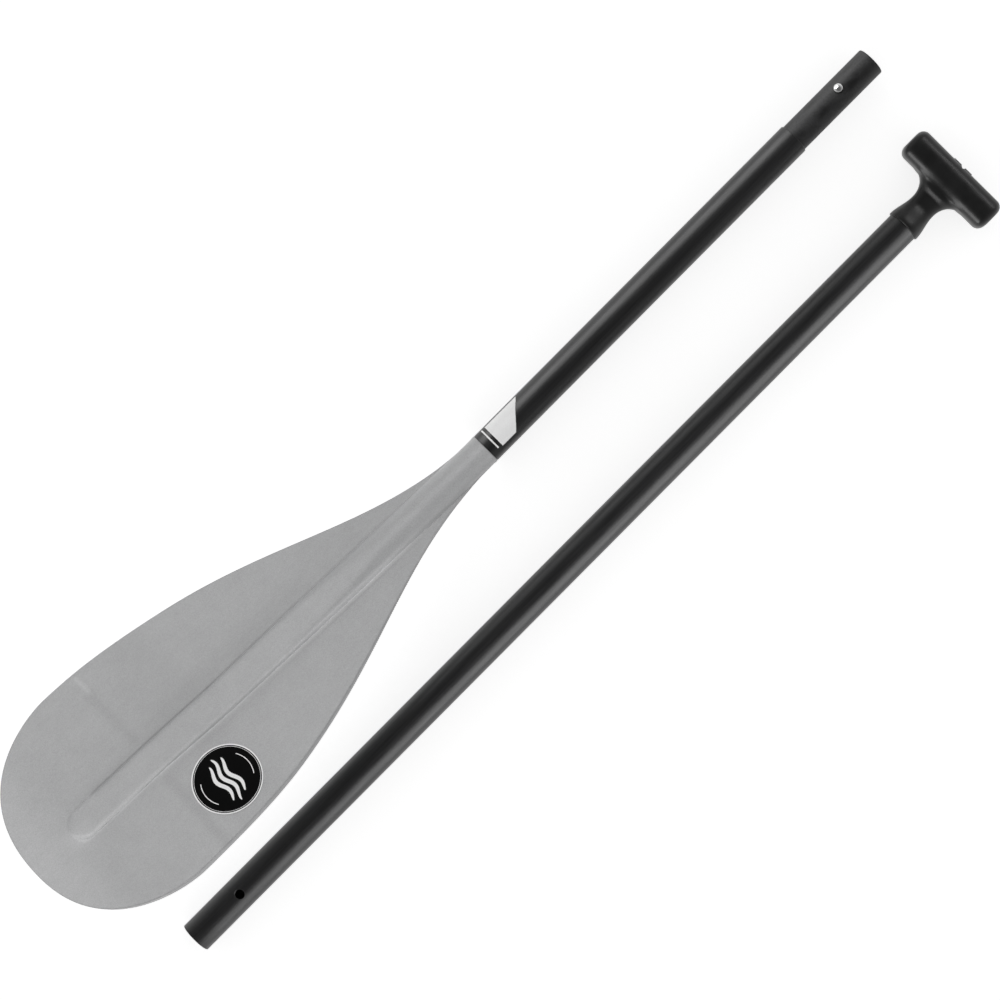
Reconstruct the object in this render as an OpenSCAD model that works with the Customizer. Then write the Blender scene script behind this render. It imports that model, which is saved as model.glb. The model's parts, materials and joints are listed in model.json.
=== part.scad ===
// Two-piece take-apart stand-up paddle, both halves laid side by side with the face of the blade up.
// +X runs along the shafts towards the ferrule and the T grip, +Z is up, z = 0 is the floor.

/* [Shafts] */
// Outside diameter of both shafts
shaft_d = 28; // [26:0.5:30]
// Wall of both shafts
shaft_wall = 1.5; // [1.3:0.1:2]
// Length of the shaft on the blade half
lower_len = 365; // [300:5:420]
// Length of the shaft on the handle half
upper_len = 844; // [800:1:900]

/* [Ferrule] */
// Outside diameter of the ferrule
ferrule_d = 25.8; // [24:0.1:26]
// Length of ferrule that stands out of the lower shaft
ferrule_out = 91.5; // [80:0.5:95]
// Length of ferrule glued inside the lower shaft
ferrule_in = 60; // [40:5:80]
// Depth of the socket that takes the ferrule
socket_depth = 100; // [97:1:120]
// Clearance between the ferrule and the socket, on the radius
socket_gap = 0.06; // [0.03:0.01:0.1]

/* [Snap button] */
// Diameter of the button
button_d = 7.6; // [6:0.1:8]
// Distance from the shoulder of the lower shaft to the button
button_x = 54; // [45:1:60]
// How far the button stands above the ferrule
button_out = 2.5; // [2:0.1:3]

/* [Blade] */
// Length of the blade, measured along the shaft's line
blade_len = 504; // [480:1:520]
// Widest part of the blade
blade_w = 196; // [190:1:210]
// Distance from the tip to the widest part
belly_from_tip = 92; // [80:1:110]
// Thickness of the blade's edge
edge_t = 2.4; // [2:0.1:4]
// Thickness of the plate beside the spine
plate_t = 4.6; // [4:0.1:7]
// Angle between the shaft and the blade
bend_deg = 7.3; // [6:0.1:9]
// How far the outer part of the blade stands above the line of the inner part
rise = 8.2; // [4:0.2:10]
// Angle by which each side of the blade rises from the spine to the edge
dish_deg = 6.5; // [4:0.5:7]

/* [T grip] */
// Length of the bar across the shaft
grip_w = 94; // [85:1:110]
// Width of the bar along the shaft
grip_d = 28.8; // [26:0.2:32]
// Thickness of the bar
grip_t = 28; // [25:0.5:28]
// Diameter of the collar that covers the end of the shaft
collar_d = 30.7; // [30.2:0.1:31]
// Diameter of the waist behind the bar
waist_d = 24; // [22:0.5:26]

/* [Layout] */
// Distance between the two shafts, centre to centre
halves_gap = 116.5; // [112:0.5:130]
// Roll of the blade half about its shaft
roll_deg = 14; // [0:0.5:20]

/* [Hidden] */
$fn = 64;

// Where the halves lie
axis_z = 15.4;
neck_at = [24, 26, axis_z];
mouth_at = [-437, neck_at.y - halves_gap, axis_z];

// Radii and stations along the shafts
shaft_r = shaft_d / 2;
bore_r = shaft_r - shaft_wall;
ferrule_r = ferrule_d / 2;
ferrule_bore_r = 11;
socket_r = ferrule_r + socket_gap;
lead_in = 0.6;
shoulder_gap = 0.4;
button_at = lower_len + button_x;
hole_at = button_x - shoulder_gap;

// Button and clip inside the ferrule
button_r = button_d / 2;
button_top = ferrule_r + button_out;
button_dome = 1.6;
flange_r = 4.8;
flange_t = 0.8;
flange_base = 8.9;
button_hole_r = 4.1;
clip_t = 0.6;
clip_w = 8;
clip_len = 46;

// Plugs
plug_gap = 0.3;
lower_plug = [110, 40];
seal_plug = [106, 30];
upper_plug = [640, 80];

// Tang of the blade, inside the lower shaft
tang_r = bore_r - 0.1;
tang_len = 60;

// Blade: the half outline is two cubic curves, tip to belly and belly to neck
belly_s = blade_len - belly_from_tip;
tip_pull = 92;
belly_pull = 215;
neck_pull = 138;
bend_run = 60;
rise_at = 290;
rise_len = 95;
dish_run = 260;
dish_soft = 6;

// Spine along the middle of the face, and the round back of the neck
spine_nose = 466;
spine_nose_len = 30;
spine_fall = 6;
spine_fall_run = 260;
spine_end_fall = 3.4;
spine_end_at = 290;
spine_end_run = 170;
neck_back_run = 300;

// Mesh of the blade: rings along it, and places across each ring as shares of the spine's half width
last_tip_t = 0.97;
tip_rings = 16;
belly_rings = 42;
spine_shares = [0, 0.3, 0.55, 0.75, 0.88, 0.95, 0.985, 1];
plate_steps = 5;

// Badge on the blade: distance along the blade, distance from the spine, radius, thickness
badge_s = 340;
badge_u = -55.7;
badge_r = 29.4;
badge_t = 0.35;

// Grip
collar_over = 6;
spigot_len = 40;
collar_x = upper_len - collar_over;
waist_x = upper_len + 17;
bar_near = upper_len + 35.7;
web_reach = 17;
web_out = 14;
bar_round = 8;
skin_t = 3.4;
slice_t = 0.4;
stem_r = 8;
fit_gap = 0.05;

function bezier(a, b, c, d, t) =
    pow(1 - t, 3) * a + 3 * pow(1 - t, 2) * t * b + 3 * (1 - t) * t * t * c + pow(t, 3) * d;

function smooth(x) = let (k = min(1, max(0, x))) k * k * (3 - 2 * k);

// [distance from the neck, half width] along the two curves of the outline
function belly_curve(t) = bezier([0, shaft_r], [neck_pull, shaft_r],
    [belly_s - belly_pull, blade_w / 2], [belly_s, blade_w / 2], t);
function tip_curve(t) = bezier([belly_s, blade_w / 2], [belly_s, blade_w / 2],
    [blade_len, tip_pull], [blade_len, 0], t);

// Half width at a distance from the neck, found on the belly curve by halving
function half_width(s, lo = 0, hi = 1, left = 16) =
    let (mid = (lo + hi) / 2)
    left == 0 ? belly_curve(mid)[1]
        : belly_curve(mid)[0] < s ? half_width(s, mid, hi, left - 1)
        : half_width(s, lo, mid, left - 1);

// Height of the blade's middle above the shaft's axis: it bends up over bend_run, runs straight,
// and steps up by rise
function middle(s) =
    tan(bend_deg) * (s < bend_run ? s * s / (2 * bend_run) : s - bend_run / 2)
        + rise * smooth((s - rise_at) / rise_len);

// The two sides rise from the middle to the edges
function plate_middle(s, u) = middle(s)
    + tan(dish_deg) * (sqrt(u * u + dish_soft * dish_soft) - dish_soft) * smooth(s / dish_run);
function plate_half(s, u, w) =
    let (edge = 0.4 + (edge_t - 0.4) * smooth(s / 60), tip = smooth((blade_len - s) / 70))
    (edge + max(0, plate_t - edge) * (1 - pow(u / w, 2)) * tip) / 2;

// The spine's round nose, its height above the middle, its half width and how square its section is
function nose_fade(s) =
    let (k = (s - spine_nose + spine_nose_len) / spine_nose_len)
    k <= 0 ? 1 : k >= 1 ? 0 : sqrt(1 - k * k);
function spine_high(s) = shaft_r - spine_fall * smooth(s / spine_fall_run)
    - spine_end_fall * smooth((s - spine_end_at) / spine_end_run);
function spine_r(s) = shaft_r + smooth(s / 80) - 1.6 * smooth((s - 150) / 250);
function squareness(s) = 2 + 10 * smooth((s - 120) / 130);
function dome(u, r, p) = sqrt(max(0, 1 - pow(abs(u) / r, p)));
function spine_face(s, u) = middle(s)
    + spine_high(s) * nose_fade(s) * dome(u, spine_r(s) * max(0.2, nose_fade(s)), squareness(s));
function spine_back(s, u) = middle(s)
    - shaft_r * (1 - smooth(s / neck_back_run)) * dome(u, spine_r(s), 2);

function face(s, u, w) = max(plate_middle(s, u) + plate_half(s, u, w), spine_face(s, u));
function back(s, u, w) = min(plate_middle(s, u) - plate_half(s, u, w), spine_back(s, u));

// Places across the blade, from one edge to the other, close together on the spine's walls
function across(s, w) =
    let (k = min(spine_r(s), 0.8 * w), n = len(spine_shares),
        side = [for (j = [0:plate_steps - 1]) k + (w - k) * cos(90 * j / plate_steps)],
        half = concat(side, [for (j = [n - 1:-1:1]) k * spine_shares[j]]))
    concat(-half, [0], [for (j = [len(half) - 1:-1:0]) half[j]]);

module loft(rings) {
    m = len(rings[0]);
    last = len(rings) - 1;
    sides = [for (i = [0:last - 1], j = [0:m - 1])
        let (a = i * m + j, b = i * m + (j + 1) % m)
        each [[a, b, b + m], [a, b + m, a + m]]];
    ends = [[for (j = [m - 1:-1:0]) j], [for (j = [0:m - 1]) last * m + j]];
    polyhedron([for (ring = rings) each ring], concat(ends, sides), convexity = 6);
}

module blade_half() {
    translate(neck_at) rotate([-roll_deg, 0, 0]) children();
}

module handle_half() {
    translate(mouth_at) children();
}

// A round bar or tube along +X, with chamfers at both ends
module rod(r, x0, x1, hollow = 0, cut = 0) {
    translate([x0, 0, 0]) rotate([90, 0, 90]) rotate_extrude()
        polygon([[hollow, 0], [r - cut, 0], [r, cut], [r, x1 - x0 - cut], [r - cut, x1 - x0],
            [hollow, x1 - x0]]);
}

module blade() {
    stations = concat(
        [for (i = [0:belly_rings]) belly_curve(i / belly_rings)],
        [for (i = [1:tip_rings]) tip_curve(last_tip_t * i / tip_rings)]);
    rings = [for (at = stations) let (s = at[0], w = at[1], us = across(s, w), n = len(us))
        concat([for (j = [n - 1:-1:0]) [-s, us[j], face(s, us[j], w)]],
            [for (u = us) [-s, u, back(s, u, w)]])];
    color("darkgray") blade_half() {
        loft(rings);
        rod(tang_r, -2, tang_len, cut = 1);
    }
}

module blade_badge() {
    function spot(r, a, lift) =
        let (s = badge_s + r * cos(a), u = badge_u + r * sin(a))
        [-s, u, face(s, u, half_width(s)) + lift];
    turns = [for (a = [0:10:350]) a];
    radii = [for (k = [1:3]) badge_r * k / 3];
    top = [for (r = radii) [for (a = turns) spot(r, a, badge_t)]];
    under = [for (k = [2:-1:0]) [for (a = turns) spot(radii[k], a, 0)]];
    color("black") blade_half() loft(concat(top, under));
}

// Printed film on the shaft: a thin sleeve trimmed to an outline seen from above
module film(outline) {
    intersection() {
        rod(shaft_r + 0.2, 0, 60, hollow = shaft_r + 0.02);
        linear_extrude(shaft_r + 2) polygon(outline);
    }
}

module neck_panel() {
    color("white") blade_half() film([[11.5, -11], [11.5, 11], [48, 11], [46, 8], [27, -11]]);
}

module neck_band() {
    color("white") blade_half() film([[7, -10], [7, 11], [8.4, 11], [8.4, -10]]);
}

module lower_shaft() {
    color("#202022") blade_half() difference() {
        rod(shaft_r, 0, lower_len, cut = 0.7);
        rod(bore_r, -1, lower_len + 1);
        rod(socket_r, lower_len - ferrule_in, lower_len + 1);
    }
}

module ferrule() {
    color("#38383a") blade_half() difference() {
        rod(ferrule_r, lower_len - ferrule_in, lower_len + ferrule_out, cut = 0.9);
        rod(ferrule_bore_r, lower_len - ferrule_in - 1, lower_len + ferrule_out + 1);
        translate([button_at, 0, 0]) cylinder(r = button_hole_r, h = shaft_r + 2);
    }
}

module snap_button() {
    straight = button_top - button_dome;
    color("silver") blade_half() translate([button_at, 0, 0]) rotate_extrude()
        polygon(concat(
            [[0, flange_base], [flange_r, flange_base], [flange_r, flange_base + flange_t],
                [button_r, flange_base + flange_t]],
            [for (a = [0:10:80]) [button_r * cos(a), straight + button_dome * sin(a)]],
            [[0, button_top]]));
}

// Bent leaf: one leg under the button, one on the far wall, round bend between them
module spring_clip() {
    upper_z = flange_base - 0.05;
    lower_z = -flange_base;
    bend_x = button_at - clip_len;
    middle = (upper_z + lower_z) / 2;
    bend_r = (upper_z - lower_z) / 2;
    color("silver") blade_half() translate([0, clip_w / 2, 0]) rotate([90, 0, 0])
        linear_extrude(clip_w) {
            translate([bend_x, upper_z - clip_t]) square([clip_len + 6, clip_t]);
            translate([bend_x, lower_z]) square([clip_len + 6, clip_t]);
            translate([bend_x, middle]) difference() {
                circle(bend_r);
                circle(bend_r - clip_t);
                translate([0, -bend_r]) square(2 * bend_r);
            }
        }
}

module lower_float_plug() {
    color("dimgray") blade_half()
        rod(bore_r - plug_gap, lower_plug[0], lower_plug[0] + lower_plug[1], cut = 1);
}

module upper_shaft() {
    color("#202022") handle_half() difference() {
        rod(shaft_r, 0, upper_len, cut = 0.5);
        rod(bore_r, -1, upper_len + 1);
        rod(socket_r, -1, socket_depth);
        translate([-0.01, 0, 0]) rotate([0, 90, 0])
            cylinder(r1 = socket_r + lead_in, r2 = socket_r, h = lead_in + 0.01);
        translate([hole_at, 0, 0]) cylinder(r = button_hole_r, h = shaft_r + 2);
    }
}

module socket_seal_plug() {
    color("dimgray") handle_half()
        rod(bore_r - plug_gap, seal_plug[0], seal_plug[0] + seal_plug[1], cut = 1);
}

module upper_float_plug() {
    color("dimgray") handle_half()
        rod(bore_r - plug_gap, upper_plug[0], upper_plug[0] + upper_plug[1], cut = 1);
}

// Bar of the grip, rounded all round, with its near face at bar_near; inset shrinks it evenly
module grip_bar(inset) {
    r = bar_round - min(inset, bar_round / 2);
    hull() for (x = [inset + r, grip_d - inset - r], y = [-1, 1], z = [-1, 1])
        translate([bar_near + x, y * (grip_w / 2 - inset - r), z * (grip_t / 2 - inset - r)])
            ball(r);
}

// A ball with a vertex at each of its six extremes, so that a hull of balls has clean edges
module ball(r) {
    rotate_extrude($fn = 24) polygon([for (a = [-90:15:90]) [r * cos(a), r * sin(a)]]);
}

module core_shape(gap) {
    rod(bore_r - 0.1 + gap, upper_len - spigot_len, upper_len);
    rod(stem_r + gap, upper_len - 1, bar_near + grip_d / 2);
    grip_bar(skin_t - gap);
}

module grip_core() {
    color("#303032") handle_half() core_shape(0);
}

// Neck of the grip: round at the collar and the waist, then a flat web that flares out to the bar
module grip_neck() {
    collar_r = collar_d / 2;
    waist_r = waist_d / 2;
    taper_x = collar_x + 1;
    // Each ring is [place along the shaft, half width, half thickness]
    rings = concat(
        [[collar_x, collar_r - 0.4, collar_r - 0.4], [taper_x, collar_r, collar_r]],
        [for (k = [1:8]) let (r = collar_r + (waist_r - collar_r) * smooth(k / 8))
            [taper_x + (waist_x - taper_x) * k / 8, r, r]],
        [for (a = [18:18:72]) [bar_near - web_reach * (1 - sin(a)),
            waist_r + web_out * (1 - cos(a)), waist_r + 1.5 * (1 - cos(a))]],
        [[bar_near + 6, waist_r + web_out - 2, waist_r + 1]]);
    for (k = [1:len(rings) - 1]) hull() {
        neck_slice(rings[k - 1]);
        neck_slice(rings[k]);
    }
}

module neck_slice(ring) {
    translate([ring[0], 0, 0]) rotate([90, 0, 90])
        linear_extrude(slice_t) polygon([for (a = [0:12:348]) [ring[1] * cos(a), ring[2] * sin(a)]]);
}

module grip_skin() {
    color("#262628") handle_half() difference() {
        union() {
            grip_neck();
            grip_bar(0);
        }
        rod(shaft_r + fit_gap, collar_x - 1, upper_len + fit_gap);
        core_shape(fit_gap);
    }
}

module grip_pads() {
    pad_t = 0.8;
    color("#303032") handle_half() for (y = [-6.2, 5.2])
        translate([bar_near + grip_d + pad_t / 2, y, 0])
            cube([pad_t, 8.6, 9], center = true);
}

blade();
blade_badge();
neck_panel();
neck_band();
lower_shaft();
ferrule();
snap_button();
spring_clip();
lower_float_plug();
upper_shaft();
socket_seal_plug();
upper_float_plug();
grip_core();
grip_skin();
grip_pads();
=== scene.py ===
import json
import math

import bpy
import numpy as np
from mathutils import Matrix, Vector

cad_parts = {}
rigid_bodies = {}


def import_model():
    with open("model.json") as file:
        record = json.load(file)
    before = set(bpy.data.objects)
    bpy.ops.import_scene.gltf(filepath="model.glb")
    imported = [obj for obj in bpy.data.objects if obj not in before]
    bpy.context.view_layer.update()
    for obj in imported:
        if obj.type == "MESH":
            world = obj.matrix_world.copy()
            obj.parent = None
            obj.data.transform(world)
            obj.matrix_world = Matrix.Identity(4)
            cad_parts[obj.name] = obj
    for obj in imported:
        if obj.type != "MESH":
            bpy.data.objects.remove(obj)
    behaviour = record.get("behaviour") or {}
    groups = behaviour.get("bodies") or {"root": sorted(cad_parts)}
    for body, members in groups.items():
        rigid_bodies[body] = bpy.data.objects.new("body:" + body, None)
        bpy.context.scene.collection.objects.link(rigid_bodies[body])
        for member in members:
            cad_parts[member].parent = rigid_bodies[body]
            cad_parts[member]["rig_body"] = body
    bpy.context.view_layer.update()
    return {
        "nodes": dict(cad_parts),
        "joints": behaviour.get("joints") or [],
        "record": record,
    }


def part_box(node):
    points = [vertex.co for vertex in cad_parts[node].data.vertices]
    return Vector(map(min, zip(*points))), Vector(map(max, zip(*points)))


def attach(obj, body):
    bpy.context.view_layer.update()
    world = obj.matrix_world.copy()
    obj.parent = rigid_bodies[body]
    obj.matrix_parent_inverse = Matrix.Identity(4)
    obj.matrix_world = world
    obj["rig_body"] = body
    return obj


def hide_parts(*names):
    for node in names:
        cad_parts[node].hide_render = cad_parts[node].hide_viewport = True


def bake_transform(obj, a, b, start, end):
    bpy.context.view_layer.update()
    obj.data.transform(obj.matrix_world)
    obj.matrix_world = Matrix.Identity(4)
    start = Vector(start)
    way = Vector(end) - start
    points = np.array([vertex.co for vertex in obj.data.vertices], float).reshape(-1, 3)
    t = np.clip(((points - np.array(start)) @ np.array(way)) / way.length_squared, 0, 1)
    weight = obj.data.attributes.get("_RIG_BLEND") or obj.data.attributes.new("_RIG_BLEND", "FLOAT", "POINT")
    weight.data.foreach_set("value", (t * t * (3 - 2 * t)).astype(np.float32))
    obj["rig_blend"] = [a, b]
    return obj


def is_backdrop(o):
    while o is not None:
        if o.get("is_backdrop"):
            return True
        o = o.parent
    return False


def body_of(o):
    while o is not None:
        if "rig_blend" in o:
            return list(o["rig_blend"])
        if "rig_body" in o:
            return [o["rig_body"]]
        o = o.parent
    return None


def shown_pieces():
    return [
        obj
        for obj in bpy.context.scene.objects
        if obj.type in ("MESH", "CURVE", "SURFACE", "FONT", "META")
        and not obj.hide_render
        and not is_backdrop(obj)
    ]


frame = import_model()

MM = 0.001

# ---- Sizes in millimetres, as in the CAD source ----------------------------------------------
SHAFT_R, BORE_R = 14.0, 12.5
LOWER_LEN, UPPER_LEN = 365.0, 844.0
FERRULE_R, FERRULE_BORE, FERRULE_IN, FERRULE_OUT = 12.9, 11.0, 60.0, 91.5
SOCKET_R, SOCKET_DEPTH = 12.96, 100.0
BUTTON_R, BUTTON_AT, HOLE_AT, HOLE_R = 3.8, 419.0, 53.6, 4.1
BLADE_LEN, BLADE_HALF, BELLY_S = 504.0, 98.0, 404.0
BELLY_CURVE = ((0, 14), (138, 14), (199, BLADE_HALF), (BELLY_S, BLADE_HALF))
TIP_CURVE = ((BELLY_S, BLADE_HALF), (418, BLADE_HALF), (BLADE_LEN, 90), (BLADE_LEN, 0))
EDGE_T, PLATE_T = 2.4, 4.6
BADGE_S, BADGE_U, BADGE_R, BADGE_T = 340.0, -55.7, 29.4, 0.35
COLLAR_X, WAIST_X, BAR_NEAR = 838.0, 861.0, 879.7
COLLAR_R, WAIST_R = 15.35, 12.0
GRIP_W, GRIP_D, GRIP_T = 94.0, 28.8, 28.0
BAR_Y, NOTCH_Y = -1.0, -0.8             # middle of the grip's bar, and of the notch in its end face
FLARE_R, FLARE_LEN = 14.5, 17.5         # the grip neck's flare into the bar
STEM_THICK = 8.4                        # half the grip neck's least height, just over the core's stem
TANG_R, TANG_LEN = 12.4, 60.0
PLUG_GAP = 0.3                          # round the foam plugs
FILM_T, FILM_GAP = 0.10, 0.01
ROLL = math.radians(14)

# ---- Where the two halves lie, from the frame ------------------------------------------------
hinge = next(j for j in frame["joints"] if j["name"] == "turn_level")
socket = next(m for m in frame["record"]["mounts"] if m["name"] == "socket")
NECK = Vector((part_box("lower_shaft")[0].x, hinge["pos_m"][1], hinge["pos_m"][2]))
MOUTH = Vector((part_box("upper_shaft")[0].x, socket["pos_m"][1], socket["pos_m"][2]))
BLADE_FRAME = Matrix.Translation(NECK) @ Matrix.Rotation(-ROLL, 4, "X") @ Matrix.Scale(MM, 4)
HANDLE_FRAME = Matrix.Translation(MOUTH) @ Matrix.Scale(MM, 4)


# ---- Materials -------------------------------------------------------------------------------
class Look:
    """A procedural material, built node by node on a Principled shader."""

    def __init__(self, name, rough, specular=0.5, metallic=0.0):
        self.material = bpy.data.materials.new(name)
        self.material.use_nodes = True
        self.nodes = self.material.node_tree.nodes
        self.links = self.material.node_tree.links
        self.shader = self.nodes["Principled BSDF"]
        self.shader.inputs["Roughness"].default_value = rough
        self.shader.inputs["Specular IOR Level"].default_value = specular
        self.shader.inputs["Metallic"].default_value = metallic
        self.place = self.nodes.new("ShaderNodeTexCoord").outputs["Object"]

    def noise(self, scale, detail=2.0, stretch=(1, 1, 1), rough=0.5):
        """Noise with its scale in features per metre, drawn out along the axes by stretch."""
        mapping = self.nodes.new("ShaderNodeMapping")
        mapping.inputs["Scale"].default_value = tuple(1 / k for k in stretch)
        self.links.new(self.place, mapping.inputs["Vector"])
        node = self.nodes.new("ShaderNodeTexNoise")
        node.inputs["Scale"].default_value = scale
        node.inputs["Detail"].default_value = detail
        node.inputs["Roughness"].default_value = rough
        self.links.new(mapping.outputs["Vector"], node.inputs["Vector"])
        return node.outputs["Fac"]

    def cells(self, scale):
        """Distance from the middle of round cells, with their number per metre."""
        node = self.nodes.new("ShaderNodeTexVoronoi")
        node.inputs["Scale"].default_value = scale
        self.links.new(self.place, node.inputs["Vector"])
        return node.outputs["Distance"]

    def ramp(self, fac, low, high, start=0.3, end=0.7):
        """A ramp from low to high, greys or colours, as fac goes from start to end."""
        node = self.nodes.new("ShaderNodeValToRGB")
        for element, at, value in zip(node.color_ramp.elements, (start, end), (low, high)):
            element.position = at
            element.color = (*([value] * 3 if isinstance(value, float) else value), 1)
        self.links.new(fac, node.inputs["Fac"])
        return node.outputs["Color"]

    def times(self, a, b):
        """One colour multiplied by another, each an output or three numbers."""
        node = self.nodes.new("ShaderNodeMix")
        node.data_type = "RGBA"
        node.blend_type = "MULTIPLY"
        for value, name in ((1.0, "Factor"), (a, "A"), (b, "B")):
            socket = next(s for s in node.inputs if s.name == name and s.enabled)
            if isinstance(value, bpy.types.NodeSocket):
                self.links.new(value, socket)
            else:
                socket.default_value = value if name == "Factor" else (*value, 1)
        return next(s for s in node.outputs if s.enabled)

    def attribute(self, name):
        node = self.nodes.new("ShaderNodeAttribute")
        node.attribute_name = name
        return node.outputs["Fac"]

    def colour(self, output):
        self.links.new(output, self.shader.inputs["Base Color"])
        return self

    def roughness(self, output):
        self.links.new(output, self.shader.inputs["Roughness"])
        return self

    def bump(self, *heights):
        """Bumps one on another: pairs of a height output and its depth in metres."""
        below = None
        for height, depth in heights:
            node = self.nodes.new("ShaderNodeBump")
            node.inputs["Distance"].default_value = depth
            self.links.new(height, node.inputs["Height"])
            if below is not None:
                self.links.new(below, node.inputs["Normal"])
            below = node.outputs["Normal"]
        self.links.new(below, self.shader.inputs["Normal"])
        return self


def blade_look():
    look = Look("blade_nylon", 0.42, specular=0.45)
    speckle = look.ramp(look.noise(1100, 3, rough=0.75), 0.84, 1.16, 0.30, 0.70)
    mottle = look.ramp(look.noise(45, 3), 0.975, 1.025)
    streak = look.ramp(look.noise(260, 2, stretch=(7, 1, 1)), 0.985, 1.015)
    grey = look.times(speckle, (0.345, 0.346, 0.350))
    grey = look.times(look.times(grey, mottle), streak)
    # painted light and shade: the moulding's attribute lightens and darkens the grey
    grey = look.times(grey, look.ramp(look.attribute("painted_shading"), 0.5, 1.5, 0.0, 1.0))
    look.colour(grey)
    look.roughness(look.ramp(look.noise(320, 3), 0.38, 0.48))
    return look.bump((look.noise(1500, 3, rough=0.7), 0.00012), (look.noise(90, 2), 0.00015)).material


def shaft_look():
    look = Look("shaft_anodised", 0.36, specular=0.5)
    grain = look.noise(900, 3, stretch=(40, 1, 1))
    cloud = look.noise(30, 3, stretch=(5, 1, 1))
    black = look.ramp(cloud, (0.010, 0.010, 0.0104), (0.0155, 0.0155, 0.016))
    look.colour(look.times(look.ramp(grain, 0.6, 1.4), black))
    look.roughness(look.ramp(look.noise(420, 3, stretch=(12, 1, 1)), 0.33, 0.43))
    return look.bump((grain, 0.00002)).material


def ferrule_look():
    look = Look("ferrule_fibre", 0.55, specular=0.5)
    fleck = look.noise(700, 3, rough=0.65)
    cloud = look.noise(95, 4, stretch=(1.6, 1, 1))
    black = look.ramp(cloud, (0.005, 0.005, 0.0053), (0.026, 0.026, 0.027), 0.35, 0.65)
    look.colour(look.times(look.ramp(fleck, 0.6, 1.4), black))
    look.roughness(look.ramp(cloud, 0.44, 0.62))
    return look.bump((fleck, 0.00006)).material


def metal_look(name, grey, rough, stretch):
    look = Look(name, rough, metallic=1.0)
    grain = look.noise(2200, 2, stretch=stretch)
    look.colour(look.ramp(grain, grey * 0.88, grey * 1.06))
    look.roughness(look.ramp(grain, rough * 0.8, rough * 1.3))
    return look.bump((grain, 0.00001)).material


def foam_look():
    look = Look("plug_foam", 0.92, specular=0.2)
    cells = look.cells(900)
    look.colour(look.ramp(cells, (0.050, 0.050, 0.053), (0.085, 0.085, 0.088), 0.0, 0.6))
    return look.bump((cells, 0.0003)).material


def grip_look(name, grey, rough):
    look = Look(name, rough, specular=0.42)
    grain = look.noise(1700, 2, rough=0.6)
    cloud = look.noise(70, 3)
    look.colour(look.times(look.ramp(grain, 0.85, 1.15), look.ramp(cloud, grey * 0.85, grey * 1.2)))
    look.roughness(look.ramp(cloud, rough - 0.04, rough + 0.06))
    return look.bump((grain, 0.00004), (look.noise(60, 2), 0.0003)).material


def print_look(name, grey, rough, gloss):
    look = Look(name, rough, specular=gloss)
    grain = look.noise(1500, 3)
    look.colour(look.ramp(grain, grey * 0.94, min(1.0, grey * 1.04)))
    look.roughness(look.ramp(look.noise(400, 2), rough * 0.85, rough * 1.2))
    return look.bump((look.noise(500, 2), 0.00002)).material


BLADE = blade_look()
SHAFT = shaft_look()
FERRULE = ferrule_look()
CHROME = metal_look("button_chrome", 0.72, 0.14, (1, 1, 1))
SPRING = metal_look("spring_steel", 0.50, 0.32, (25, 1, 1))
FOAM = foam_look()
GRIP = grip_look("grip_rubber", 0.0060, 0.34)
CORE = grip_look("grip_core_nylon", 0.0080, 0.45)
BADGE = print_look("badge_vinyl", 0.0035, 0.42, 0.12)
PRINT = print_look("print_white", 0.74, 0.45, 0.4)


# ---- Mesh helpers: all in millimetres in the frame of one half -------------------------------
def piece(name, verts, faces, where, body, material, replaces=(), sharp=40):
    """A mesh piece of the object, placed by its half's frame and riding on a CAD body."""
    mesh = bpy.data.meshes.new(name)
    mesh.from_pydata([tuple(v) for v in verts], [], [tuple(f) for f in faces])
    mesh.transform(where)
    mesh.validate()
    mesh.materials.append(material)
    mesh.shade_smooth()
    mesh.set_sharp_from_angle(angle=math.radians(sharp))
    obj = bpy.data.objects.new(name, mesh)
    bpy.context.scene.collection.objects.link(obj)
    if body:
        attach(obj, body)
    if replaces:
        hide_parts(*replaces)
    return obj


def smooth(x):
    """0 up to x = 0, 1 from x = 1, and a smooth step between."""
    k = np.clip(x, 0, 1)
    return k * k * (3 - 2 * k)


def hump(x, at, width):
    """1 at x = at, falling away on both sides."""
    return np.exp(-((x - at) / width) ** 2)


HOLE_CELLS = 14         # cells of a tube's mesh along and round the block that a hole is cut from


def arc_profile(centre, radius, start, end, steps=5):
    """Points (x, r) round an arc, its angles in degrees from +x towards +r."""
    angles = np.radians(np.linspace(start, end, steps))
    return [(centre[0] + radius * math.cos(a), centre[1] + radius * math.sin(a)) for a in angles]


def ring_mesh(rows, count=96):
    """Rings of a closed profile of (x, r) points, going round outside first, and their quads."""
    angle = np.linspace(0, 2 * math.pi, count, endpoint=False)
    verts = [(x, r * math.sin(a), r * math.cos(a)) for x, r in rows for a in angle]
    quads = {}
    for i in range(len(rows)):
        for j in range(count):
            k, m = (i + 1) % len(rows), (j + 1) % count
            quads[i, j] = (i * count + j, k * count + j, k * count + m, i * count + m)
    return verts, quads


def stations(x0, x1, hole=None, half=0.0, pitch=20.0):
    """Places along a tube: even ones, with a fine block of cells round a hole."""
    if hole is None:
        return list(np.linspace(x0, x1, max(2, int((x1 - x0) / pitch) + 1)))
    block = list(np.linspace(hole - half, hole + half, HOLE_CELLS + 1))
    return stations(x0, block[0])[:-1] + block + stations(block[-1], x1)[1:]


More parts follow.
